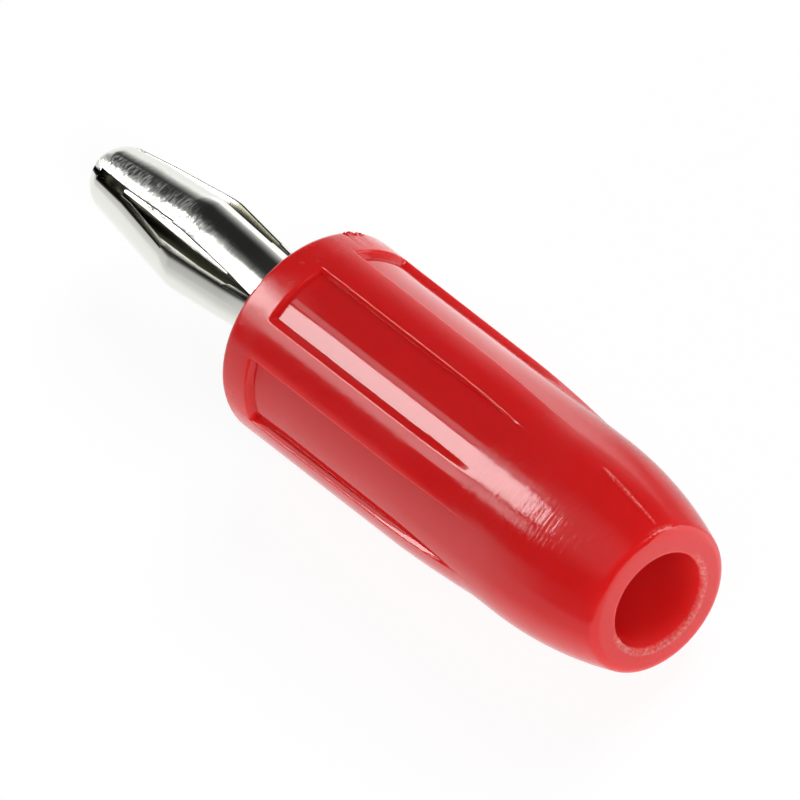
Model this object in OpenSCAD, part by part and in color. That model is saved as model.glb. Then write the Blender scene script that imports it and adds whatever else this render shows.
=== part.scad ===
// Cable-mounting plug for 4 mm sockets: a moulded insulating sleeve, a turned contact with a
// clamped wire barrel, and a slit spring pin over the contact's core. It lies on the table
// on two grip lands, with its axis along X, the pin towards +X and the cable hole towards -X.

/* [Sleeve] */
// Length of the sleeve, from the cable end to the front face
sleeve_len = 21.6; // [20:0.1:26]
// Diameter of the front collar, which the grip lands reach at their front ends
collar_d = 8.8; // [8.6:0.05:10]
// Width of the plain collar in front of the flutes
collar_w = 1.6; // [1:0.1:2.4]
// Diameter of the barrel, which is also the floor of the flutes
barrel_d = 8.26; // [8.05:0.01:8.4]
// Diameter of the cable end, before its edge is rounded
rear_d = 6.2; // [5.6:0.1:7]
// Length over which the barrel curves in towards the cable end
taper_len = 6; // [4:0.1:7.5]
// Rounding of the edge round the cable end
rear_edge_r = 0.45; // [0.2:0.05:0.6]
// Rounding of the edge round the front face
front_edge_r = 0.25; // [0.1:0.05:0.5]

/* [Grip] */
// Number of lands, with a flute between each two
land_count = 6; // [4:1:8]
// Width of a land round the sleeve, in degrees
land_arc = 23; // [16:1:28]
// Diameter over the lands where they start to fade into the barrel
land_rear_d = 8.7; // [8.5:0.05:8.8]
// Distance from the cable end to where the lands vanish
land_end = 7.95; // [7.6:0.05:10]
// Length over which a land fades into the barrel
land_fade = 2.75; // [1.5:0.05:4]
// Slope of the flutes' side walls, in degrees
side_draft = 15; // [5:1:30]
// Slope of the flutes' front walls, in degrees
front_draft = 20; // [5:1:30]

/* [Cable hole] */
// Diameter of the cable hole
cable_d = 4.1; // [3:0.1:4.4]
// Room between the wire barrel and the cone that leads to it from the cable hole
mouth_room = 0.65; // [0.2:0.05:1.5]
// Rounding of the cable hole's rim
cable_rim_r = 0.15; // [0.05:0.05:0.25]

/* [Contact] */
// Diameter of the contact's head, which guides it in the sleeve
head_d = 6.6; // [6.2:0.05:6.8]
// Length of the contact's head
head_len = 5.5; // [4:0.1:7]
// Depth of the head's face behind the sleeve's front face
head_recess = 1; // [0.4:0.1:2]
// Diameter of the wire barrel
wire_barrel_d = 5.6; // [5.2:0.05:5.9]
// Length of the wire barrel
wire_barrel_len = 8.6; // [7:0.1:9]
// Diameter of the wire bore
wire_d = 2.6; // [2.2:0.05:2.8]
// Depth of the wire bore, to where its drill point starts
wire_len = 7.6; // [5.5:0.1:9]
// Half angle of the drill point, in degrees
drill_half_angle = 59; // [50:1:70]
// Diameter of the core that runs inside the spring pin
core_d = 1.6; // [1.2:0.05:1.8]
// Distance from the sleeve's front face to the end of the core
core_reach = 12; // [9:0.1:12.4]
// Length of the core's tapered tip
core_tip_len = 0.6; // [0.4:0.1:1.5]
// Diameter of the core's end
core_tip_d = 0.6; // [0.3:0.05:1]
// Chamfer on the contact's turned edges
turned_chamfer = 0.25; // [0.1:0.05:0.4]

/* [Spring pin] */
// Distance from the sleeve's front face to the end of the pin's nose
pin_len = 13.7; // [13:0.1:19]
// Diameter of the pin at its bulge, unpressed
bulge_d = 4.36; // [4.2:0.02:4.5]
// Distance from the sleeve's front face to the bulge
bulge_at = 6.9; // [6:0.1:8.5]
// Radius of the leaves' bend over the bulge
bend_r = 3; // [2:0.1:5]
// Diameter of the pin's root
root_d = 3.5; // [3.3:0.05:3.7]
// Distance from the sleeve's front face to where the root widens
root_len = 2.2; // [1.4:0.1:3.4]
// Radius of the round nose
nose_r = 1.48; // [1.3:0.02:1.6]
// Thickness of a leaf
leaf_t = 0.45; // [0.35:0.05:0.55]
// Width of a slit at the bulge
slit_bulge_w = 1.1; // [0.6:0.05:1.4]
// Distance the slits run back into the root, behind where it widens
slit_back = 0.3; // [0.1:0.05:0.6]
// Width of a slit at the root
slit_root_w = 0.2; // [0.1:0.05:0.4]
// Width of a slit at the nose, where the leaves are pinched together
slit_nose_w = 0.1; // [0.06:0.02:0.2]
// Turn of the slits about the pin's axis, in degrees
slit_turn = 64; // [0:1:89]

/* [Clamp screw] */
// Diameter of the screw
screw_d = 2; // [1.6:0.1:2.2]
// Distance from the wire barrel's open end to the screw's axis
screw_at = 3.8; // [3:0.1:5]
// Depth of the screw's top edge below the wire barrel's surface
screw_sunk = 0.05; // [0.02:0.01:0.2]
// Width of the driver slot
driver_w = 0.4; // [0.3:0.05:0.6]
// Depth of the driver slot, as a share of the screw's length
driver_share = 0.4; // [0.3:0.05:0.5]

/* [Fits] */
// Radial clearance of the contact's head in the sleeve
head_fit = 0.04; // [0.02:0.01:0.1]
// Radial clearance of the wire barrel in the sleeve
barrel_fit = 0.1; // [0.05:0.05:0.3]
// Clearance between faces that seat on each other
seat_gap = 0.05; // [0.02:0.01:0.1]
// Radial clearance of the spring pin on the contact's spigot
spigot_fit = 0.02; // [0.01:0.01:0.04]
// Radial clearance of the clamp screw in its hole
screw_fit = 0.03; // [0.02:0.01:0.06]
// Clearance between the screw's foot and the wire bore
foot_gap = 0.05; // [0.02:0.01:0.1]

/* [Hidden] */

// Radii of the turned and moulded forms
collar_r = collar_d / 2;
barrel_r = barrel_d / 2;
cable_r = cable_d / 2;
head_r = head_d / 2;
wire_barrel_r = wire_barrel_d / 2;
wire_r = wire_d / 2;
core_r = core_d / 2;
core_tip_r = core_tip_d / 2;
bulge_r = bulge_d / 2;
root_r = root_d / 2;
land_rear_r = land_rear_d / 2;
screw_r = screw_d / 2;

// Stations along the axis, from the cable end
total_len = sleeve_len + pin_len;
head_front = sleeve_len - head_recess;
head_rear = head_front - head_len;
wire_mouth = head_rear - wire_barrel_len;
wire_end = wire_mouth + wire_len;
bulge_x = sleeve_len + bulge_at;
root_x = sleeve_len + root_len;
slit_x = root_x - slit_back;
core_end = sleeve_len + core_reach;
screw_x = wire_mouth + screw_at;
land_start = land_end + land_fade;

// The spigot that carries the spring pin fills the pin's root
root_bore_r = root_r - leaf_t;
spigot_r = root_bore_r - spigot_fit;

// Arc that curves the barrel in to the cable end, and the arc that fades a land into the barrel
taper_drop = barrel_r - rear_d / 2;
taper_r = (taper_len ^ 2 + taper_drop ^ 2) / (2 * taper_drop);
fade_drop = land_rear_r - barrel_r;
fade_r = (land_fade ^ 2 + fade_drop ^ 2) / (2 * fade_drop);

// Overlap that takes cutters past the faces they cut, and buries added forms in the barrel
overlap = 0.5;
// Segments of an edge rounding and of a long arc
edge_steps = 6;
arc_steps = 14;

// Points along an arc in a [radius, station] profile
function arc(centre, r, from, to, steps) =
    [for (i = [0:steps]) let (a = from + (to - from) * i / steps) centre + r * [cos(a), sin(a)]];

// Angle at which a line outside two circles touches them both, where a point is a circle of no radius
function touch(centre1, r1, centre2, r2) =
    let (d = centre2 - centre1) atan2(d[1], d[0]) - acos((r1 - r2) / norm(d));

// A [radius, station] profile turned about the plug's axis
module turned(profile) {
    rotate([0, 90, 0]) rotate_extrude($fn = 96) polygon(profile);
}

// Stands the plug's axis at its height above the table, with the part's middle at the origin
module lying() {
    translate([-total_len / 2, 0, collar_r]) children();
}

// Barrel with its curved cable end, as thick as the flutes' floor
module barrel() {
    taper_centre = [barrel_r - taper_r, taper_len];
    edge_reach = sqrt((taper_r - rear_edge_r) ^ 2 - (taper_len - rear_edge_r) ^ 2);
    edge_centre = [taper_centre[0] + edge_reach, rear_edge_r];
    meet = atan2(rear_edge_r - taper_len, edge_reach);
    turned(concat(
        [[0, 0]],
        arc(edge_centre, rear_edge_r, -90, meet, edge_steps),
        arc(taper_centre, taper_r, meet, 0, arc_steps),
        [[barrel_r, sleeve_len - collar_w / 2], [0, sleeve_len - collar_w / 2]]
    ));
}

// Outer form of the lands and the collar, all the way round
module grip_envelope() {
    fade_centre = [land_rear_r - fade_r, land_start];
    buried = -asin((land_fade + overlap) / fade_r);
    edge_centre = [collar_r - front_edge_r, sleeve_len - front_edge_r];
    turned(concat(
        [[0, land_end - overlap]],
        arc(fade_centre, fade_r, buried, 0, arc_steps),
        [[collar_r, sleeve_len - collar_w]],
        arc(edge_centre, front_edge_r, 0, 90, edge_steps),
        [[0, sleeve_len]]
    ));
}

// Where the envelope is left standing: the lands, and the collar in front of the flutes.
// A flute faces the table, so that the sleeve lies on the lands beside it
module grip_lands() {
    half_w = collar_r * sin(land_arc / 2);
    inner = barrel_r - overlap;
    outer = collar_r + overlap;
    function side(r) = half_w + (collar_r - r) * tan(side_draft);
    function front_wall(r) = sleeve_len - collar_w + (r - collar_r) * tan(front_draft);
    translate([land_end - 2 * overlap, 0, 0]) rotate([0, 90, 0])
        linear_extrude(sleeve_len - collar_w / 2 - land_end + 2 * overlap)
            for (i = [0:land_count - 1])
                rotate((i + 0.5) * 360 / land_count - 90)
                    polygon([
                        [-side(inner), inner], [side(inner), inner],
                        [side(outer), outer], [-side(outer), outer]
                    ]);
    turned([
        [0, front_wall(inner)], [inner, front_wall(inner)], [outer, front_wall(outer)],
        [outer, sleeve_len + overlap], [0, sleeve_len + overlap]
    ]);
}

// Cable hole, room for the wire barrel, and the bore that guides the contact's head
module sleeve_bore() {
    room_r = wire_barrel_r + barrel_fit;
    bore_r = head_r + head_fit;
    room_start = wire_mouth - mouth_room;
    shoulder = head_rear - seat_gap;
    rim_centre = [cable_r + cable_rim_r, cable_rim_r];
    turned(concat(
        [[0, -overlap], [cable_r + cable_rim_r, -overlap]],
        arc(rim_centre, cable_rim_r, 270, 180, edge_steps),
        [
            [cable_r, room_start - (room_r - cable_r)], [room_r, room_start],
            [room_r, shoulder], [bore_r, shoulder],
            [bore_r, sleeve_len + overlap], [0, sleeve_len + overlap]
        ]
    ));
}

// Insulating sleeve, one moulding
module sleeve() {
    color("#c01719") lying() difference() {
        union() {
            barrel();
            intersection() {
                grip_envelope();
                grip_lands();
            }
        }
        sleeve_bore();
    }
}

// Turned contact: wire barrel, head, spigot and core in one piece
module contact_core() {
    drill_point = wire_r / tan(drill_half_angle);
    c = turned_chamfer;
    color("#c9c8c4") lying() difference() {
        turned([
            [wire_r, wire_mouth], [wire_barrel_r - c, wire_mouth], [wire_barrel_r, wire_mouth + c],
            [wire_barrel_r, head_rear], [head_r - c, head_rear], [head_r, head_rear + c],
            [head_r, head_front - c], [head_r - c, head_front],
            [spigot_r, head_front], [spigot_r, root_x - c], [spigot_r - c, root_x],
            [core_r, root_x], [core_r, core_end - core_tip_len], [core_tip_r, core_end],
            [0, core_end], [0, wire_end + drill_point], [wire_r, wire_end]
        ]);
        translate([screw_x, 0, 0]) cylinder(r = screw_r + screw_fit, h = collar_r, $fn = 48);
    }
}

// Spring pin: a drawn tube, slit into leaves that bulge and close to a round nose
module spring_pin() {
    seat = head_front + seat_gap;
    root = [root_r, root_x];
    root_inside = [root_bore_r, root_x];
    bend_centre = [bulge_r - bend_r, bulge_x];
    nose_centre = [0, total_len - nose_r];
    inner_bend_r = bend_r - leaf_t;
    inner_nose_r = nose_r - leaf_t;
    rise = touch(root, 0, bend_centre, bend_r);
    inner_rise = touch(root_inside, 0, bend_centre, inner_bend_r);
    fall = touch(bend_centre, bend_r, nose_centre, nose_r);
    color("#d3d2cd") lying() difference() {
        turned(concat(
            [[root_bore_r, seat], [root_r, seat], root],
            arc(bend_centre, bend_r, rise, fall, edge_steps),
            arc(nose_centre, nose_r, fall, 90, arc_steps),
            arc(nose_centre, inner_nose_r, 90, fall, arc_steps),
            arc(bend_centre, inner_bend_r, fall, inner_rise, edge_steps),
            [root_inside]
        ));
        for (i = [0:1]) rotate([slit_turn + 90 * i, 0, 0]) slit();
    }
}

// One cut across the pin: widest at the bulge, closing towards the root and the nose
module slit() {
    linear_extrude(2 * collar_d, center = true) polygon([
        [slit_x, -slit_root_w / 2], [bulge_x, -slit_bulge_w / 2], [total_len, -slit_nose_w / 2],
        [total_len + overlap, -slit_nose_w / 2], [total_len + overlap, slit_nose_w / 2],
        [total_len, slit_nose_w / 2], [bulge_x, slit_bulge_w / 2], [slit_x, slit_root_w / 2]
    ]);
}

// Headless clamp screw over the wire bore, backed out clear of the wire
module clamp_screw() {
    top = sqrt(wire_barrel_r ^ 2 - screw_r ^ 2) - screw_sunk;
    foot = wire_r + foot_gap;
    driver_floor = top - driver_share * (top - foot);
    color("#b9b8b3") lying() translate([screw_x, 0, 0]) difference() {
        translate([0, 0, foot]) cylinder(r = screw_r, h = top - foot, $fn = 48);
        translate([-screw_d, -driver_w / 2, driver_floor]) cube([2 * screw_d, driver_w, collar_r]);
    }
}

sleeve();
contact_core();
spring_pin();
clamp_screw();
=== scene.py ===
# %% [markdown]
# # A cable plug for 4 mm sockets
# The plug is a red moulded sleeve with six grip flutes and a slit spring pin of bright nickel-plated
# brass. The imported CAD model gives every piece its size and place. This lesson dresses it: it models
# the sleeve and the pin again with the small rounded edges that catch the light, gives each surface
# its finish, and stands a camera in a white studio.

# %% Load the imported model
import math

import bpy
from mathutils import Matrix, Vector


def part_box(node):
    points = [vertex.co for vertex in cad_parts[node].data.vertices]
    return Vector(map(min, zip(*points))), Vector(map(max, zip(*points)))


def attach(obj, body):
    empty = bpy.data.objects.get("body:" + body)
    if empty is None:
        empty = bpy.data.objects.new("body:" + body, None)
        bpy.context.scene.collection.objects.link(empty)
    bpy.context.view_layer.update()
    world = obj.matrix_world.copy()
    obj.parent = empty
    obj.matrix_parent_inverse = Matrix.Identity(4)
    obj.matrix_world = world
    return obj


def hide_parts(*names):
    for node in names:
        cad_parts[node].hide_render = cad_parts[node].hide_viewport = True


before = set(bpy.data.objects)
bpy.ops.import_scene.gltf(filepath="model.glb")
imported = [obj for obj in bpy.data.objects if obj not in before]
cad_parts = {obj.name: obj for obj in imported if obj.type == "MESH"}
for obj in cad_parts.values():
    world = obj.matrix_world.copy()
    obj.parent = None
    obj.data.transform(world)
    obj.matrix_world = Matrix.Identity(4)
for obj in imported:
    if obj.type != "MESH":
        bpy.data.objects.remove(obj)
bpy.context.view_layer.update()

# %% [markdown]
# ## Stations along the axis
# The plug lies along X, so every size below is a radius or a station: the distance in millimetres from
# the cable end. The CAD node of the sleeve says where station 0 is and how high the axis lies.

# %% The axis of the plug
MM = 0.001
sleeve_low, sleeve_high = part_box("sleeve")
REAR_X = sleeve_low.x
AXIS_Z = (sleeve_low.z + sleeve_high.z) / 2
SLEEVE_LEN = (sleeve_high.x - sleeve_low.x) / MM


def on_axis(station):
    """The point on the plug's axis at a station."""
    return Vector((REAR_X + station * MM, 0, AXIS_Z))


def station_of(point):
    """How far a point lies from the cable end, in mm."""
    return (point.x - REAR_X) / MM


def radius_of(point):
    """How far a point lies from the axis, in mm."""
    return math.hypot(point.y, point.z - AXIS_Z) / MM


def turn_of(point):
    """The angle of a point round the axis, in degrees from +Y towards +Z."""
    return math.degrees(math.atan2(point.z - AXIS_Z, point.y))


print(f"sleeve of {SLEEVE_LEN:.1f} mm on an axis {AXIS_Z / MM:.1f} mm above the table")

# %% [markdown]
# ## The camera
# The photograph was taken from far off with a long lens, which keeps the sleeve's sides almost
# parallel. It looks down on the cable end, and it was turned in its frame to lay the plug along the
# diagonal, so the camera here is rolled as well.

# %% Camera
CAMERA_MM = (-289.0, 64.0, 345.07)
CAMERA_TURN = (35.033, 22.481, -131.169)
LENS_MM = 527.9
SENSOR_MM = 36
CLIP_M = (0.05, 20)

bpy.ops.object.select_all(action="DESELECT")
bpy.ops.object.camera_add(
    location=[c * MM for c in CAMERA_MM], rotation=[math.radians(a) for a in CAMERA_TURN]
)
camera = bpy.context.object
camera.data.sensor_width = SENSOR_MM
camera.data.lens = LENS_MM
camera.data.clip_start, camera.data.clip_end = CLIP_M
bpy.context.scene.camera = camera
print("camera looks along", [round(c, 3) for c in camera.matrix_world.to_3x3() @ Vector((0, 0, -1))])

# %% [markdown]
# ## Rings
# A turned or moulded part is a stack of rings along its axis. By hand one would add a circle, extrude
# it along the axis and scale each new ring, and that is what these helpers do. An operator acts on
# what is selected, and an extrude leaves the new ring selected, so a whole profile can be followed
# ring by ring.

# %% Helpers that model by rings
WELD_MM = 0.002


def arc(centre_station, centre_radius, radius, start, end, steps):
    """Points (station, radius) along an arc, where 0 degrees points away from the axis."""
    turns = [math.radians(start + (end - start) * i / steps) for i in range(steps + 1)]
    return [
        (centre_station + radius * math.sin(t), centre_radius + radius * math.cos(t)) for t in turns
    ]


def add_ring(name, station, radius, corners):
    """A new circle round the axis, left in edit mode with nothing selected."""
    bpy.ops.object.select_all(action="DESELECT")
    bpy.ops.mesh.primitive_circle_add(
        vertices=corners,
        radius=radius * MM,
        location=on_axis(station),
        rotation=(0, math.radians(90), 0),
    )
    piece = bpy.context.object
    piece.name = name
    bpy.ops.object.transform_apply(location=True, rotation=True, scale=True)
    bpy.ops.object.mode_set(mode="EDIT")
    bpy.ops.mesh.select_mode(type="VERT")
    bpy.ops.mesh.select_all(action="DESELECT")
    return piece


def select_points(piece, wanted):
    """Selects the points of a piece that a test on their place says yes to."""
    bpy.ops.mesh.select_all(action="DESELECT")
    bpy.ops.object.mode_set(mode="OBJECT")
    for vertex in piece.data.vertices:
        vertex.select = wanted(vertex.co)
    bpy.ops.object.mode_set(mode="EDIT")


def swell(grow, station):
    """Scales the selected points away from the axis."""
    bpy.ops.transform.resize(value=(1, grow, grow), center_override=on_axis(station))


def next_ring(station, next_station, scale, flatten=0.0):
    """Extrudes the selected ring along the axis, rounds off its outline and scales it."""
    step = (next_station - station) * MM
    bpy.ops.mesh.extrude_region_move(TRANSFORM_OT_translate={"value": (step, 0, 0)})
    if flatten > 0:
        bpy.ops.transform.tosphere(value=flatten, center_override=on_axis(next_station))
    swell(scale, next_station)


def follow(path):
    """Extrudes the selected ring along a path of (station, radius), which starts where it is."""
    for (station, radius), (next_station, next_radius) in zip(path, path[1:]):
        next_ring(station, next_station, next_radius / radius)


def weld_all(distance):
    """Selects every point and welds those that lie within a distance in mm."""
    bpy.ops.mesh.select_all(action="SELECT")
    bpy.ops.mesh.remove_doubles(threshold=distance * MM)


def finish_mesh(piece_weld, sharp_angle):
    """Welds the seams, points the faces outwards and smooths all but the sharp edges."""
    weld_all(piece_weld)
    bpy.ops.mesh.normals_make_consistent(inside=False)
    bpy.ops.object.mode_set(mode="OBJECT")
    bpy.ops.object.shade_smooth_by_angle(angle=math.radians(sharp_angle))


print(f"rings that lie within {WELD_MM} mm are welded")

# %% [markdown]
# ## The sleeve's outline
# The grip has six lands with a flute between each two. Boolean cuts would leave razor edges, and the
# real moulding has soft ones that show as thin bright lines. So the outline is drawn first, as a
# circle on the flutes' floor: the points of each land are scaled out to their height, and a bevel
# rounds the corners of the lands before anything is extruded. The mould opens sideways, square to its
# flash line, so a land's wall is steep where the mould slides off it, and a slope where it would be
# caught.

# %% Sleeve outline
LANDS = 6
CORNERS = 504
STEP = 360 / CORNERS
FLOOR_R = 4.13
COLLAR_R = 4.44
EDGE_STEPS = 15
STEEP_FOOT = 16
SLOPED_FOOT = 20
CORNER_R = 0.05
OUTLINE_AT = 19.84
FLASH_TURN = 121.6
CAUGHT = -0.2


def off_land(point):
    """The angle between a point and the middle of the nearest land, below 0 on its lower side."""
    pitch = 360 / LANDS
    return (turn_of(point) + pitch / 2) % pitch - pitch / 2


def is_sloped(point):
    """Whether the wall beside a point would hold its half of the mould if it were steep."""
    side = math.copysign(90, off_land(point))
    wall_faces = turn_of(point) - off_land(point) + side
    pull = FLASH_TURN - 90
    if math.cos(math.radians(turn_of(point) - pull)) < 0:
        pull += 180
    return math.cos(math.radians(wall_faces - pull)) < CAUGHT


def scale_points(piece, wanted, radius):
    """Moves the outline's points that a test picks out to a radius."""
    select_points(piece, wanted)
    swell(radius / FLOOR_R, OUTLINE_AT)


sleeve = add_ring("insulating_sleeve", OUTLINE_AT, FLOOR_R, CORNERS)
scale_points(sleeve, lambda p: abs(off_land(p)) < (EDGE_STEPS + 0.5) * STEP, COLLAR_R)
for number in range(STEEP_FOOT, SLOPED_FOOT):
    slope_share = (SLOPED_FOOT - number) / (SLOPED_FOOT - EDGE_STEPS)
    scale_points(
        sleeve,
        lambda p: abs(abs(off_land(p)) - number * STEP) < STEP / 4 and is_sloped(p),
        FLOOR_R + slope_share * (COLLAR_R - FLOOR_R),
    )
select_points(sleeve, lambda p: abs(abs(off_land(p)) - EDGE_STEPS * STEP) < STEP / 50)
bpy.ops.mesh.bevel(offset_type="OFFSET", offset=CORNER_R * MM, segments=4, affect="VERTICES")
bpy.ops.object.mode_set(mode="OBJECT")
radii = [radius_of(v.co) for v in sleeve.data.vertices]
MEAN_SHARE = (sum(radii) / len(radii) - FLOOR_R) / (COLLAR_R - FLOOR_R)
print(f"outline of {len(radii)} points, radii {min(radii):.2f} to {max(radii):.2f} mm")

# %% [markdown]
# ## Flutes that fade
# Towards the cable end the lands sink into the barrel, slowly at first. Blender's To Sphere operator
# moves every point of a ring towards the ring's mean radius, so with the right share at each station
# it lets the lands fade. Going forward instead, the same operator raises the flutes' floor to the
# collar, which makes the wall at the front of each flute.

# %% Fluted part of the sleeve
LAND_REAR_R = 4.39
LAND_END = 7.3
LAND_START = 12.0
LAND_STATIONS = (OUTLINE_AT, 18, 15.5, 13)
FADE_ROWS = 12
FADE_POWER = 1.6
FRONT_WALL = [(19.875, 4.137), (19.90, 4.155), (19.975, 4.37), (19.995, 4.405), (20.03, 4.43)]
FRONT_WALL_END = 20.08


def follow_flutes(rows):
    """Extrudes the selected outline along rows of (station, floor radius, land radius)."""
    for (station, floor, land), (next_station, next_floor, next_land) in zip(rows, rows[1:]):
        mean = floor + MEAN_SHARE * (land - floor)
        next_mean = next_floor + MEAN_SHARE * (next_land - next_floor)
        kept = (next_land - next_floor) / (land - floor) * mean / next_mean
        next_ring(station, next_station, next_mean / mean, 1 - kept)


fade_drop = LAND_REAR_R - FLOOR_R
fade_run = LAND_START - LAND_END
fade_shares = [number / FADE_ROWS for number in range(FADE_ROWS + 1)]
fade = [
    (LAND_START - fade_run * part, FLOOR_R, LAND_REAR_R - fade_drop * part**FADE_POWER)
    for part in fade_shares
]
land_slope = (COLLAR_R - LAND_REAR_R) / (OUTLINE_AT - LAND_START)
straight = [(s, FLOOR_R, COLLAR_R - (OUTLINE_AT - s) * land_slope) for s in LAND_STATIONS]
front_wall = [(station, radius, COLLAR_R) for station, radius in FRONT_WALL]

bpy.ops.object.mode_set(mode="EDIT")
select_points(sleeve, lambda p: True)
follow_flutes([straight[0]] + front_wall + [(FRONT_WALL_END, COLLAR_R, COLLAR_R)])
select_points(sleeve, lambda p: abs(station_of(p) - OUTLINE_AT) < 0.001)
follow_flutes(straight + fade)
print(f"lands sink by {fade_drop:.2f} mm over {fade_run:.2f} mm")

# %% [markdown]
# ## Barrel, hole and collar
# From where the lands end, the last ring is a plain circle. It follows the profile of the mould: in
# along the curved barrel, round the cable end, through the cable hole and the room for the contact,
# and out again over the front face to the collar, where it meets the rings of the flutes' front wall.

# %% Turned part of the sleeve
TAPER_LEN = 6.0
REAR_R = 3.1
REAR_EDGE_R = 0.45
FRONT_EDGE_R = 0.25
HOLE_R = 2.05
RIM_R = 0.15
RIM_FLAT = 0.08
RIM_BACK = 0.2
HOLE_END = 5.0
ROOM_R = 2.9
SHOULDER = 15.05
BORE_R = 3.34
BORE_EDGE = 0.1
COLLAR_BACK = 0.45

taper_drop = FLOOR_R - REAR_R
taper_r = (TAPER_LEN**2 + taper_drop**2) / (2 * taper_drop)
edge_reach = math.sqrt((taper_r - REAR_EDGE_R) ** 2 - (TAPER_LEN - REAR_EDGE_R) ** 2)
edge_radius = FLOOR_R - taper_r + edge_reach
meet = math.degrees(math.atan2(REAR_EDGE_R - TAPER_LEN, edge_reach))
profile = [(LAND_END, FLOOR_R)]
profile += arc(TAPER_LEN, FLOOR_R - taper_r, taper_r, 0, meet, 40)
profile += arc(REAR_EDGE_R, edge_radius, REAR_EDGE_R, meet, -90, 9)[1:]
profile += [(0, HOLE_R + RIM_R + RIM_FLAT)]
profile += arc(RIM_R, HOLE_R + RIM_R, RIM_R, -90, -180, 4)
profile += [
    (RIM_R + RIM_BACK, HOLE_R),
    (HOLE_END / 2, HOLE_R),
    (HOLE_END, HOLE_R),
    (HOLE_END + ROOM_R - HOLE_R, ROOM_R),
    (SHOULDER, ROOM_R),
    (SHOULDER, BORE_R),
    (SLEEVE_LEN - BORE_EDGE, BORE_R),
    (SLEEVE_LEN, BORE_R + BORE_EDGE),
]
profile += arc(SLEEVE_LEN - FRONT_EDGE_R, COLLAR_R - FRONT_EDGE_R, FRONT_EDGE_R, 90, 0, 6)
profile += [(SLEEVE_LEN - COLLAR_BACK, COLLAR_R), (FRONT_WALL_END, COLLAR_R)]
follow(profile)
weld_all(WELD_MM)
bpy.ops.object.mode_set(mode="OBJECT")
print(f"sleeve of {len(sleeve.data.polygons)} faces")

# %% [markdown]
# ## Marks of moulding
# A cheap moulding keeps traces of its mould. A fine flash line runs along the barrel where the mould's
# halves met, and a thin crescent of flash stands beside it round the cable end. A torn spot on the
# collar shows where the plastic was let in, and the rim of the cable hole is ragged on one side. They
# are modelled by nudging points that are there already: scaled out a little for the flash, and moved
# at random, with a fixed seed, for the torn edges.

# %% Flash line, gate mark and ragged rim
FLASH_HEIGHT = 0.045
FLASH_HALF_W = 1.3 * STEP
FLASH_STRETCHES = ((0.6, 0.9), (1.1, 1.6), (1.75, 2.3), (2.45, 2.6), (2.8, 3.2), (3.4, 3.6))
FLASH_AT_R = 3.6
CRESCENT_TURN = 123
CRESCENT_HALF_ARCS = (13, 9, 5)
CRESCENT_AT_R = 3.0
RIM_TURNS = (-115, 5)
GATE_TURNS = (137, 150)
SLEEVE_SHARP = 40


def roughen(piece, wanted, reach, along_normal, seed):
    """Moves the points that a test picks at random, by up to a reach in mm."""
    select_points(piece, wanted)
    bpy.ops.transform.vertex_random(
        offset=reach * MM, uniform=0.0, normal=along_normal, seed=seed
    )


def on_torn_rim(point):
    """Whether a point lies on the ragged side of the cable hole's rim."""
    in_arc = RIM_TURNS[0] < turn_of(point) < RIM_TURNS[1]
    return in_arc and station_of(point) < 0.12 and radius_of(point) < 2.25


def on_gate(point):
    """Whether a point lies where the plastic was let in, on the collar's front edge."""
    in_arc = GATE_TURNS[0] < turn_of(point) < GATE_TURNS[1]
    return in_arc and station_of(point) > SLEEVE_LEN - 0.3 and radius_of(point) > 4.2


bpy.ops.object.mode_set(mode="EDIT")
for start, end in FLASH_STRETCHES:
    select_points(
        sleeve,
        lambda p: abs(turn_of(p) - FLASH_TURN) < FLASH_HALF_W
        and start < station_of(p) < end
        and radius_of(p) > 3,
    )
    swell(1 + FLASH_HEIGHT / FLASH_AT_R, 2)
for half_arc in CRESCENT_HALF_ARCS:
    select_points(
        sleeve,
        lambda p: abs(turn_of(p) - CRESCENT_TURN) < half_arc
        and 0.1 < station_of(p) < 0.2
        and radius_of(p) > 2.8,
    )
    swell(1 + FLASH_HEIGHT / 2 / CRESCENT_AT_R, 0)
roughen(sleeve, on_torn_rim, reach=0.035, along_normal=0.3, seed=3)
roughen(sleeve, on_gate, reach=0.075, along_normal=0.7, seed=5)
finish_mesh(WELD_MM, SLEEVE_SHARP)
print(f"marked sleeve of {len(sleeve.data.polygons)} faces")

# %% [markdown]
# ## The spring pin
# The pin is a drawn tube, slit four ways, whose leaves bulge in the middle and close to a round nose.
# One leaf is a quarter of the tube, so only a quarter is modelled: a quarter ring is extruded along
# the profile, and bisect planes cut the slits' two flanks, which meet at the bulge. The leaf is then
# spun into four, welded at the root, and given its thickness and the rounded edges of tumbled metal.
# A leaf that bows out keeps the round of the tube it was cut from, so its rings move out to the bulge
# unscaled, and only the closed nose is scaled down.

# %% One leaf of the pin
PIN_SEAT = 20.65
ROOT_R = 1.75
ROOT_RING = 22.0
SLIT_START = 23.5
ROOT_END = 23.8
RISE_RING = 1.5
BULGE_AT = 28.5
BULGE_R = 2.22
BEND_R = 3.0
NOSE_R = 1.48
NOSE_ARC_END = 89
PIN_END = 35.3
SLIT_HALF_W = {"root": 0.1, "bulge": 0.55, "nose": 0.05}
LEAF_T = 0.45
RING_CORNERS = 128


def touch(station1, radius1, r1, station2, radius2, r2):
    """The angle at which a line outside two circles touches them both."""
    along, out = station2 - station1, radius2 - radius1
    turn = math.atan2(along, out) - math.acos((r1 - r2) / math.hypot(along, out))
    return math.degrees(turn)


def follow_leaf(path):
    """Extrudes the quarter ring: moved out where it bows, scaled where it closes to the nose."""
    for (station, radius), (next_station, next_radius) in zip(path, path[1:]):
        if min(radius, next_radius) >= ROOT_R:
            out = (next_radius - radius) * math.sqrt(0.5) * MM
            step = ((next_station - station) * MM, out, out)
            bpy.ops.mesh.extrude_region_move(TRANSFORM_OT_translate={"value": step})
        else:
            next_ring(station, next_station, next_radius / radius)


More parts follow.
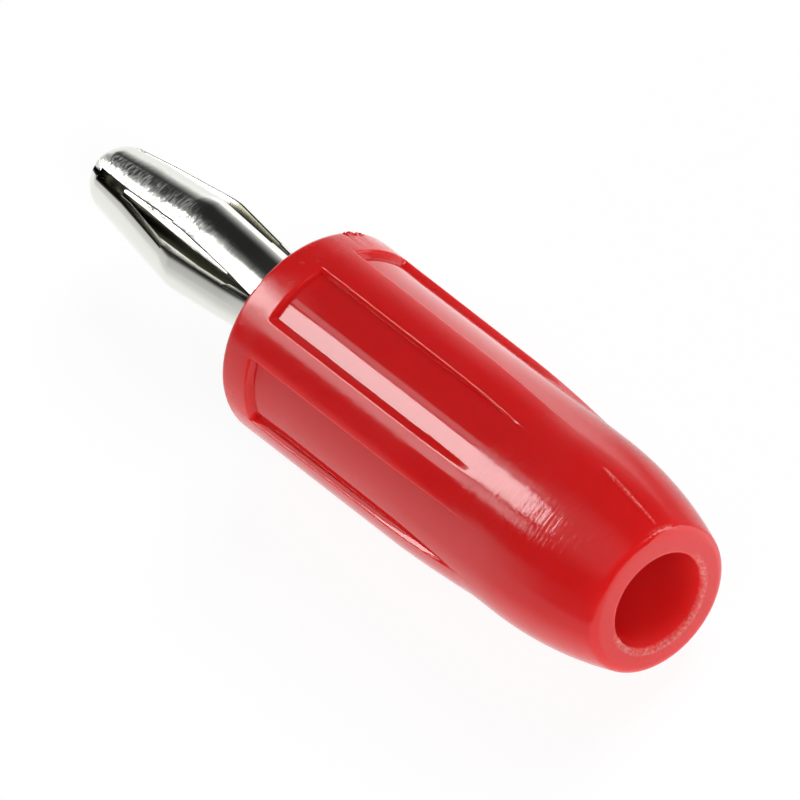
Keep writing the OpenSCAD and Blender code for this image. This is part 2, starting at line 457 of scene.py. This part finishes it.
bend = (BULGE_AT, BULGE_R - BEND_R, BEND_R)
nose = (PIN_END - NOSE_R, 0, NOSE_R)
rise = touch(ROOT_END, ROOT_R, 0, *bend)
fall = touch(*bend, *nose)
pin_path = [(station, ROOT_R) for station in (PIN_SEAT, ROOT_RING, SLIT_START, ROOT_END)]
pin_path += [(ROOT_END + RISE_RING, ROOT_R + RISE_RING * math.tan(math.radians(-rise)))]
pin_path += arc(*bend, rise, 0, 4)
pin_path += arc(*bend, 0, fall, 4)[1:]
closing = arc(*nose, fall, NOSE_ARC_END, 18)
(last_station, last_r), (nose_station, nose_start_r) = pin_path[-1], closing[0]
fall_share = (last_r - ROOT_R) / (last_r - nose_start_r)
pin_path += [(last_station + fall_share * (nose_station - last_station), ROOT_R)] + closing

pin = add_ring("spring_leaves", PIN_SEAT, ROOT_R, RING_CORNERS)
select_points(pin, lambda p: not -0.1 < turn_of(p) < 90.1)
bpy.ops.mesh.delete(type="VERT")
bpy.ops.mesh.select_all(action="SELECT")
follow_leaf(pin_path)

flanks = [
    (SLIT_START, BULGE_AT, SLIT_HALF_W["root"], SLIT_HALF_W["bulge"]),
    (BULGE_AT, PIN_END, SLIT_HALF_W["bulge"], SLIT_HALF_W["nose"]),
]
for start, end, start_w, end_w in flanks:
    for side in (Vector((0, 1, 0)), Vector((0, 0, 1))):
        select_points(pin, lambda p: start - 0.001 < station_of(p) < end + 0.001)
        flank = Vector((start_w - end_w, 0, 0)) + side * (end - start)
        bpy.ops.mesh.bisect(
            plane_co=on_axis(start) + side * start_w * MM,
            plane_no=flank.normalized(),
            clear_inner=True,
        )
bpy.ops.object.mode_set(mode="OBJECT")
print(f"leaf of {len(pin.data.polygons)} faces, bulge rise {-rise:.1f} and fall {fall:.1f} degrees")

# %% Four leaves with their thickness
SLIT_TURN = 58.8
TWIST = 7.0
TWIST_STATIONS = range(24, 34)
PIN_OFFSET = (0, -0.15, 0.03)
PIN_WELD_MM = 0.02
PIN_SHARP = 35
EDGE_R = 0.05
EDGE_SHARP = 40
PIN_SURFACES = ("outside", "inside", "edges")

bpy.ops.object.mode_set(mode="EDIT")
bpy.ops.mesh.select_all(action="SELECT")
bpy.ops.mesh.spin(
    steps=3, dupli=True, angle=math.radians(270), center=on_axis(PIN_SEAT), axis=(1, 0, 0)
)
bpy.ops.mesh.select_all(action="SELECT")
bpy.ops.transform.rotate(
    value=math.radians(-SLIT_TURN), orient_axis="X", center_override=on_axis(PIN_SEAT)
)
for station in TWIST_STATIONS:
    select_points(pin, lambda p: station_of(p) > station)
    bpy.ops.transform.rotate(
        value=math.radians(-TWIST / len(TWIST_STATIONS)),
        orient_axis="X",
        center_override=on_axis(station),
    )
bpy.ops.mesh.select_all(action="SELECT")
bpy.ops.transform.translate(value=[c * MM for c in PIN_OFFSET])
finish_mesh(PIN_WELD_MM, PIN_SHARP)
for _ in PIN_SURFACES:
    bpy.ops.object.material_slot_add()
thicken = {
    "thickness": LEAF_T * MM,
    "offset": -1,
    "material_offset": PIN_SURFACES.index("inside"),
    "material_offset_rim": PIN_SURFACES.index("inside"),
}
round_edges = {
    "width": EDGE_R * MM,
    "segments": 3,
    "limit_method": "ANGLE",
    "angle_limit": math.radians(EDGE_SHARP),
    "material": PIN_SURFACES.index("edges"),
    "use_clamp_overlap": False,
}
for kind, settings in (("SOLIDIFY", thicken), ("BEVEL", round_edges)):
    modifier = pin.modifiers.new(kind.title(), kind)
    for name, value in settings.items():
        setattr(modifier, name, value)
    bpy.ops.object.modifier_apply(modifier=modifier.name)
bpy.ops.object.shade_smooth_by_angle(angle=math.radians(PIN_SHARP))
print(f"pin of {len(pin.data.polygons)} faces")

# %% [markdown]
# ## Colours and nodes
# Colours are written as they look on a screen, and the renderer wants them linear, so one function
# turns them. Another adds a node with its settings and links, and everything below is built from it.
# Finishes change along the axis and round it, so the object coordinates are turned into a station, a
# height and a turn once, and masks fade between two of these.


# %% Colour and node helpers
def linear(hex_colour):
    """A screen colour such as #c01719 as linear red, green, blue and alpha."""
    parts = [int(hex_colour[i : i + 2], 16) / 255 for i in (1, 3, 5)]
    return [c / 12.92 if c <= 0.04045 else ((c + 0.055) / 1.055) ** 2.4 for c in parts] + [1.0]


def add(tree, kind, inputs=None, **settings):
    """Adds a node, sets its options, and sets or links its inputs by name or number."""
    made = tree.nodes.new(kind)
    for name, value in settings.items():
        setattr(made, name, value)
    for name, value in (inputs or {}).items():
        if isinstance(value, bpy.types.NodeSocket):
            tree.links.new(value, made.inputs[name])
        else:
            made.inputs[name].default_value = value
    return made


def new_material(name):
    """An empty node material and its tree."""
    material = bpy.data.materials.new(name)
    material.use_nodes = True
    material.node_tree.nodes.clear()
    return material, material.node_tree


def fade_in(tree, value, start, end, low=0.0, high=1.0):
    """A value that goes from low to high while another goes from start to end."""
    ends = {"Value": value, "From Min": start, "From Max": end, "To Min": low, "To Max": high}
    return add(tree, "ShaderNodeMapRange", ends).outputs[0]


def along_axis(tree, x, start, end, low=0.0, high=1.0):
    """A value that goes from low to high between two stations."""
    return fade_in(tree, x, on_axis(start).x, on_axis(end).x, low, high)


def round_axis(tree, angle, start, end, low=0.0, high=1.0):
    """A value that goes from low to high between two angles in degrees."""
    return fade_in(tree, angle, math.radians(start), math.radians(end), low, high)


def math_of(tree, operation, first, second):
    """The result of a Math node on two values."""
    return add(tree, "ShaderNodeMath", {0: first, 1: second}, operation=operation).outputs[0]


def product(tree, first, *others):
    """Several values multiplied."""
    for other in others:
        first = math_of(tree, "MULTIPLY", first, other)
    return first


def away_from(tree, angle, centre):
    """How far an angle lies from a centre that is given in degrees."""
    return math_of(tree, "ABSOLUTE", math_of(tree, "SUBTRACT", angle, math.radians(centre)), 0.0)


def mix(tree, factor, first, second):
    """A value between two others."""
    inputs = {"Factor": factor, "A": first, "B": second}
    return add(tree, "ShaderNodeMix", inputs, data_type="FLOAT").outputs[0]


def mix_colours(tree, factor, first, second):
    """A colour between two others."""
    inputs = {"Factor": factor, "A": first, "B": second}
    return add(tree, "ShaderNodeMix", inputs, data_type="RGBA").outputs[2]


def noise(tree, size_mm, detail, vector):
    """Noise whose blotches are about this many millimetres across."""
    settings = {"Vector": vector, "Scale": 1 / (size_mm * MM), "Detail": detail}
    return add(tree, "ShaderNodeTexNoise", settings).outputs[0]


def bump_of(tree, height, depth_mm, **under):
    """The normal of bumps of a depth in mm, on top of another normal if one is given."""
    inputs = {"Height": height, "Strength": 1.0, "Distance": depth_mm * MM, **under}
    return add(tree, "ShaderNodeBump", inputs).outputs[0]


def plug_coordinates(tree):
    """The object coordinates, with the X, Y, height over the axis and turn round it they give."""
    place = add(tree, "ShaderNodeTexCoord").outputs["Object"]
    parts = add(tree, "ShaderNodeSeparateXYZ", {0: place}).outputs
    height = math_of(tree, "SUBTRACT", parts["Z"], AXIS_Z)
    turn = math_of(tree, "ARCTAN2", height, parts["Y"])
    return {"place": place, "x": parts["X"], "y": parts["Y"], "height": height, "turn": turn}


def principled(tree, inputs):
    """Gives a material a Principled surface with these inputs."""
    shader = add(tree, "ShaderNodeBsdfPrincipled", inputs)
    add(tree, "ShaderNodeOutputMaterial", {"Surface": shader.outputs[0]})


print("the sleeve's red in linear light:", [round(c, 3) for c in linear("#dc2123")[:3]])

# %% [markdown]
# ## Red plastic
# The sleeve is a gloss moulding in a soft red plastic that lets a little light through, and the wall
# of its hole is painted a lighter red as well, as the light that reaches inside it. The flutes keep
# the shine of the mould. The lands, the barrel and above all the collar rub against everything, so
# they are mottled and a little duller, and the top of the barrel keeps fine tool marks across its
# length. On the flash line, the crescent and the lower side of the hole's rim, pale pink spots are
# painted as the highlights they catch.

# %% Zones of the sleeve
RUBBED_FROM = (FLOOR_R + 0.2, FLOOR_R + 0.25)
BARREL_FROM = (8.5, 7.5)
COLLAR_FROM = (20.0, 20.2)
TOP_TURN = 77
TOP_HALF_ARCS = (30, 16)
MOTTLE_MM = 0.1
WEAR_MM = 0.5
GLINT_SPOT_MM = 0.14
TOOL_MARK_MM = 0.16
TOOL_MARK_SQUEEZE = (1.0, 0.12, 0.12)

red_plastic, tree = new_material("gloss_moulded_red_plastic")
at = plug_coordinates(tree)
x, place = at["x"], at["place"]
across = add(tree, "ShaderNodeCombineXYZ", {"Y": at["y"], "Z": at["height"]}).outputs[0]
radius = add(tree, "ShaderNodeVectorMath", {0: across}, operation="LENGTH").outputs["Value"]
proud = fade_in(tree, radius, RUBBED_FROM[0] * MM, RUBBED_FROM[1] * MM)
barrel = along_axis(tree, x, *BARREL_FROM)
collar = along_axis(tree, x, *COLLAR_FROM)
rubbed = math_of(tree, "MAXIMUM", proud, barrel)
on_top = round_axis(tree, away_from(tree, at["turn"], TOP_TURN), *TOP_HALF_ARCS)
# Painted light: the hole's wall takes a lighter red, as the light that reaches inside it.
painted_hole_light = fade_in(tree, radius, (HOLE_R + 0.12) * MM, (HOLE_R + 0.02) * MM)
# Where a pale pink is painted as a highlight: the flash line, the lower side of the hole's rim and the
# crescent.
on_flash = product(
    tree,
    along_axis(tree, x, 0.5, 0.7),
    along_axis(tree, x, 3.7, 3.5),
    round_axis(tree, away_from(tree, at["turn"], FLASH_TURN), 1.1, 0.5),
)
on_rim = product(
    tree,
    fade_in(tree, radius, (HOLE_R + 0.3) * MM, (HOLE_R + 0.2) * MM),
    along_axis(tree, x, 0.2, 0.1),
    fade_in(tree, at["height"], 0.6 * MM, 0.0),
)
on_crescent = product(
    tree,
    along_axis(tree, x, 0.4, 0.3),
    along_axis(tree, x, 0.1, 0.2, 0.0, 0.6),
    round_axis(tree, away_from(tree, at["turn"], CRESCENT_TURN), 14, 3),
)
mottle = noise(tree, MOTTLE_MM, 3.0, place)
wear = noise(tree, WEAR_MM, 2.0, place)
# Painted highlight: pale pink spots in these zones.
glint_spots = fade_in(tree, noise(tree, GLINT_SPOT_MM, 3.0, place), 0.4, 0.65, 0.1, 0.8)
glint_zones = math_of(tree, "MAXIMUM", math_of(tree, "MAXIMUM", on_flash, on_rim), on_crescent)
painted_glint = product(tree, glint_zones, glint_spots)
squeezed = add(tree, "ShaderNodeVectorMath", {0: place, 1: TOOL_MARK_SQUEEZE}, operation="MULTIPLY")
tool_marks = noise(tree, TOOL_MARK_MM, 2.0, squeezed.outputs[0])
print(f"mottle of {MOTTLE_MM} mm and wear of {WEAR_MM} mm on the rubbed zones")

# %% Gloss moulded red plastic
# The pale pink red is a painted highlight.
# The red for the hole's wall is painted light.
REDS = {"deep": "#dc2123", "bright": "#e22426", "painted_hole_light": "#ed383a", "painted_glint": "#eb8f88"}
ROUGHNESS = {"flute": 0.06, "rubbed": (0.07, 0.2), "collar": (0.15, 0.28)}
TOOL_MARK_DEPTH = 0.02
SCUFF_DEPTH = 0.0025
COLLAR_SCUFF = 0.15
LIGHT_DEPTH_MM = 1.6

rubbed_rough = fade_in(tree, mottle, 0.4, 0.62, *ROUGHNESS["rubbed"])
collar_rough = fade_in(tree, wear, 0.35, 0.65, *ROUGHNESS["collar"])
grip_rough = mix(tree, rubbed, ROUGHNESS["flute"], rubbed_rough)
tool_normal = bump_of(tree, product(tree, tool_marks, barrel, on_top), TOOL_MARK_DEPTH)
scuffed = product(tree, rubbed, fade_in(tree, collar, 0.0, 1.0, 1.0, COLLAR_SCUFF))
tones = add(tree, "ShaderNodeValToRGB", {0: noise(tree, 1.2, 2.0, place)})
for stop, tone in zip(tones.color_ramp.elements, ("deep", "bright")):
    stop.color = linear(REDS[tone])
# Painted light: a lighter red on the hole's wall.
tone_with_hole_light = mix_colours(tree, painted_hole_light, tones.outputs[0], linear(REDS["painted_hole_light"]))
principled(
    tree,
    {
        "Base Color": mix_colours(tree, painted_glint, tone_with_hole_light, linear(REDS["painted_glint"])),
        "Roughness": mix(tree, collar, grip_rough, collar_rough),
        "Normal": bump_of(tree, product(tree, mottle, scuffed), SCUFF_DEPTH, Normal=tool_normal),
        "IOR": 1.55,
        "Subsurface Weight": 1.0,
        "Subsurface Radius": (1.0, 0.1, 0.08),
        "Subsurface Scale": LIGHT_DEPTH_MM * MM,
    },
)
print("made", red_plastic.name)

# %% [markdown]
# ## Nickel plate
# The pin and the contact are brass with a bright nickel plate, a little warmer than chrome. The
# leaves were rubbed while they were formed, which left fine slanting hairlines between the bulge and
# the nose. The slits' flanks and the inside of the pin are plated thinly and look dull, and they are
# painted a dark olive as the shade in the slits. Their rounded edges are painted almost black, as the
# shade along them. On the far side, near the nose, both are painted lighter, as their highlight.

# %% Bright nickel plate on brass
HAIR_MM = 0.055
HAIR_STRETCH = (1.0, 0.1, 1.0)
HAIR_SLANTS = (18, -30)
HAIR_ROUGHNESS = 0.12
PATCH_MM = 1.1


def nickel_plate(name, colour, far_highlight_colour, roughness, hair_depth):
    """A plated metal with slanting hairlines of a depth in mm, and a colour painted on its far side
    near the nose as a highlight.
    """
    material, tree = new_material(name)
    at = plug_coordinates(tree)
    x, turn = at["x"], at["turn"]
    girth = math_of(tree, "MULTIPLY", turn, BULGE_R * MM)
    skin = add(tree, "ShaderNodeCombineXYZ", {"X": x, "Y": girth}).outputs[0]
    hairs = []
    for slant in HAIR_SLANTS:
        turned = add(
            tree,
            "ShaderNodeMapping",
            {"Vector": skin, "Rotation": (0, 0, math.radians(slant)), "Scale": HAIR_STRETCH},
        )
        hairs.append(noise(tree, HAIR_MM, 1.0, turned.outputs[0]))
    patches = fade_in(tree, noise(tree, PATCH_MM, 2.0, at["place"]), 0.35, 0.6, 0.45, 1.0)
    front = along_axis(tree, x, 25, 28, 0.15, 1.0)
    upper_side = round_axis(tree, turn, 113, 101, 0.12, 1.0)
    rubbed_side = product(tree, round_axis(tree, turn, 74, 84), upper_side)
    where = product(tree, patches, front, rubbed_side)
    # Painted highlight: the far side near the nose takes the lighter colour.
    far_side_highlight = product(tree, round_axis(tree, turn, 125, 140), along_axis(tree, x, 28.4, 29.4))
    hair_height = product(tree, math_of(tree, "ADD", *hairs), where)
    principled(
        tree,
        {
            "Base Color": mix_colours(tree, far_side_highlight, linear(colour), linear(far_highlight_colour)),
            "Metallic": 1.0,
            "Roughness": fade_in(tree, where, 0.0, 0.8, roughness, roughness + HAIR_ROUGHNESS),
            "Normal": bump_of(tree, hair_height, hair_depth),
        },
    )
    return material


nickel = nickel_plate("bright_nickel_plate_on_brass", "#dfdfd9", "#dfdfd9", 0.13, 0.038)
# Painted shade: the thinly plated flanks and inside are painted dark olive.
dull_shaded_nickel = nickel_plate("thin_nickel_with_painted_shade", "#706e5e", "#d2d1cb", 0.34, 0.004)
# Painted shade: the rounded edges are painted almost black.
edge_shade_plate = nickel_plate("edge_with_painted_shade", "#14130f", "#c4c3bb", 0.3, 0.004)
print("made", nickel.name, dull_shaded_nickel.name, edge_shade_plate.name)

# %% [markdown]
# ## Dressing the pieces
# Each new piece takes its finish, rides on the body of the CAD node that it stands for, and hides that
# node. The contact and its clamp screw are right as they are, so they keep their CAD shapes.

# %% Assign finishes and bodies
sleeve.data.materials.append(red_plastic)
for holder, plate in zip(pin.material_slots, (nickel, dull_shaded_nickel, edge_shade_plate)):
    holder.material = plate
for piece, body, node, slot in (
    (sleeve, "sleeve", "sleeve", "red_plastic"),
    (pin, "contact", "spring_pin", "nickel_plate_bright"),
):
    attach(piece, body)
    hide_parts(node)
for node in ("contact_core", "clamp_screw"):
    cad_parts[node].material_slots[0].material = nickel

# %% [markdown]
# ## Studio
# The plug lies on a white sweep that glows, so that the camera sees it as white, with the plug's soft
# shadow. What lights the plug and what it mirrors are set apart. In a mirror image the sweep is dim
# beside the sleeve and bright ahead of the pin, as a photographer does with cards. The share of the
# way ahead and aside, counted from a point behind the middle, tells these parts of the sweep apart.

# %% White sweep
LEVELS = {"camera": 1.05, "light": 1.2, "left": 0.8, "right": 1.6, "ahead": 1.15}
DIM = {"near": 0.9, "far_left": 0.42, "far_right": 0.2}
SIDES_MM = (6, -6)
SECTOR_FROM_MM = (8, 6)
AHEAD_SECTOR = (1.0, 1.6)
DIM_SECTOR = (0.65, 0.2)
DIM_START_MM = (-19, -16.5)
DIM_RUN_MM = (4, 20)
GLOW_SHARE = 0.88

bpy.ops.object.select_all(action="DESELECT")
bpy.ops.mesh.primitive_plane_add(size=4)
floor = bpy.context.object
floor.name = "white_sweep"
white, tree = new_material("matt_white_paper")
paper = add(tree, "ShaderNodeBsdfDiffuse", {"Color": linear("#f4f4f4")})
spot = add(
    tree, "ShaderNodeSeparateXYZ", {0: add(tree, "ShaderNodeTexCoord").outputs["Object"]}
).outputs
left, right = [side * MM for side in SIDES_MM]
beside = fade_in(tree, spot["Y"], left, right, LEVELS["left"], LEVELS["right"])
far = fade_in(tree, spot["Y"], left, right, DIM["far_left"], DIM["far_right"])
aside = math_of(tree, "ABSOLUTE", spot["Y"], 0.0)
sector = math_of(
    tree,
    "DIVIDE",
    math_of(tree, "ADD", spot["X"], SECTOR_FROM_MM[0] * MM),
    math_of(tree, "ADD", aside, SECTOR_FROM_MM[1] * MM),
)
ahead = mix(tree, fade_in(tree, sector, *AHEAD_SECTOR), beside, LEVELS["ahead"])
dim_start = fade_in(tree, spot["X"], DIM_START_MM[0] * MM, DIM_START_MM[1] * MM)
dim_share = product(tree, dim_start, fade_in(tree, sector, *DIM_SECTOR))
dim = fade_in(tree, aside, DIM_RUN_MM[0] * MM, DIM_RUN_MM[1] * MM, DIM["near"], far)
mirrored = mix(tree, dim_share, ahead, dim)
ray = add(tree, "ShaderNodeLightPath").outputs
not_camera = mix(tree, ray["Is Glossy Ray"], LEVELS["light"], mirrored)
sweep_level = mix(tree, ray["Is Camera Ray"], not_camera, LEVELS["camera"])
shine = add(tree, "ShaderNodeEmission", {"Color": (1, 1, 1, 1), "Strength": sweep_level})
mixed = add(
    tree, "ShaderNodeMixShader", {0: GLOW_SHARE, 1: paper.outputs[0], 2: shine.outputs[0]}
)
add(tree, "ShaderNodeOutputMaterial", {"Surface": mixed.outputs[0]})
floor.data.materials.append(white)
print("floor is", floor.name)

# %% [markdown]
# ## Room and lamps
# The room is a ring of grey levels round the axis, darker behind the plug, with a soft glow overhead.
# Of the lamps, the soft box with its skirt and rim and the side window are only seen as reflections,
# and the three fills only light. A lamp's place is an angle along the axis and a turn round it.

# %% Room
WALLS = [
    (-180, 0.9), (0, 0.8), (20, 0.7), (28, 0.03), (155, 0.03), (165, 0.2), (175, 0.6), (180, 0.8)
]
REAR_SHARE = 0.15
REAR_TO_FRONT = (0.3, 0.6)
GLOW_AT = (10, 86)
GLOW_REACH = 36
GLOW_LEVEL = 0.4


def way_to(axial, turn):
    """The way to a lamp seen at an axial angle and a turn round the axis, in degrees."""
    a, t = math.radians(axial), math.radians(turn)
    return Vector((math.sin(a), math.cos(a) * math.cos(t), math.cos(a) * math.sin(t)))


world = bpy.data.worlds.new("studio_room")
bpy.context.scene.world = world
world.use_nodes = True
tree = world.node_tree
tree.nodes.clear()
way = add(tree, "ShaderNodeTexCoord").outputs["Generated"]
way_parts = add(tree, "ShaderNodeSeparateXYZ", {0: way}).outputs
way_turn = math_of(tree, "ARCTAN2", way_parts["Z"], way_parts["Y"])
room = add(tree, "ShaderNodeValToRGB", {0: fade_in(tree, way_turn, -math.pi, math.pi)})
ramp = room.color_ramp
while len(ramp.elements) > 1:
    ramp.elements.remove(ramp.elements[-1])
for number, (angle, grey) in enumerate(WALLS):
    position = (angle + 180) / 360
    stop = ramp.elements[0] if number == 0 else ramp.elements.new(position)
    stop.position = position
    stop.color = (grey, grey, grey, 1)
front_share = fade_in(tree, way_parts["X"], *REAR_TO_FRONT, REAR_SHARE, 1.0)
walls = product(tree, room.outputs[0], front_share)
near = add(
    tree, "ShaderNodeVectorMath", {0: way, 1: way_to(*GLOW_AT)}, operation="DOT_PRODUCT"
).outputs["Value"]
glow_edge = math.cos(math.radians(GLOW_REACH))
glow = add(
    tree,
    "ShaderNodeMapRange",
    {"Value": near, "From Min": glow_edge, "From Max": 1.0, "To Max": GLOW_LEVEL},
    interpolation_type="SMOOTHSTEP",
).outputs[0]
ray = add(tree, "ShaderNodeLightPath").outputs
room_level = mix(tree, ray["Is Camera Ray"], math_of(tree, "ADD", walls, glow), 1.0)
sky = add(tree, "ShaderNodeBackground", {"Color": (1, 1, 1, 1), "Strength": room_level})
add(tree, "ShaderNodeOutputWorld", {"Surface": sky.outputs[0]})
print("room is", world.name)

# %% Lamps
MIRRORED_PANELS = [
    ("soft_box", 42, 77, 0.8, 0.265, 0.52, 8.7),
    ("soft_box_skirt", 42, 56.3, 0.8, 0.119, 0.52, 2.95),
    ("soft_box_rim", 42, 93.6, 0.8, 0.073, 0.52, 1.45),
    ("side_window", -25, 163, 0.8, 0.67, 0.46, 3.5),
]
FILLS = [
    ("rear_fill", -50, 79.3, 1.0, 0.25, 0.25, 13.8),
    ("right_fill", -5, 131, 1.2, 0.6, 0.6, 6.8),
    ("left_fill", -10, 12, 1.2, 0.6, 0.6, 3.9),
]


def add_panel(lights, name, axial, turn, distance, width, length, brightness):
    """A panel, facing the plug, that lights it or is only seen in its reflections."""
    outward = way_to(axial, turn)
    t = math.radians(turn)
    across_axis = Vector((0, -math.sin(t), math.cos(t)))
    lengthwise = across_axis.cross(outward) * -1
    bpy.ops.object.light_add(type="AREA", location=outward * distance)
    panel = bpy.context.object
    panel.name = name
    panel.rotation_euler = Matrix((across_axis, lengthwise, outward)).transposed().to_euler()
    panel.data.shape = "RECTANGLE"
    panel.data.size = width
    panel.data.size_y = length
    panel.data.energy = brightness * math.pi * width * length
    panel.visible_glossy = not lights
    panel.visible_diffuse = lights


for panel_sizes in MIRRORED_PANELS:
    add_panel(False, *panel_sizes)
for panel_sizes in FILLS:
    add_panel(True, *panel_sizes)

# %% [markdown]
# ## Picture settings
# Standard view transform shows the colours as they are written.

# %% Finish
bpy.context.scene.view_settings.view_transform = "Standard"
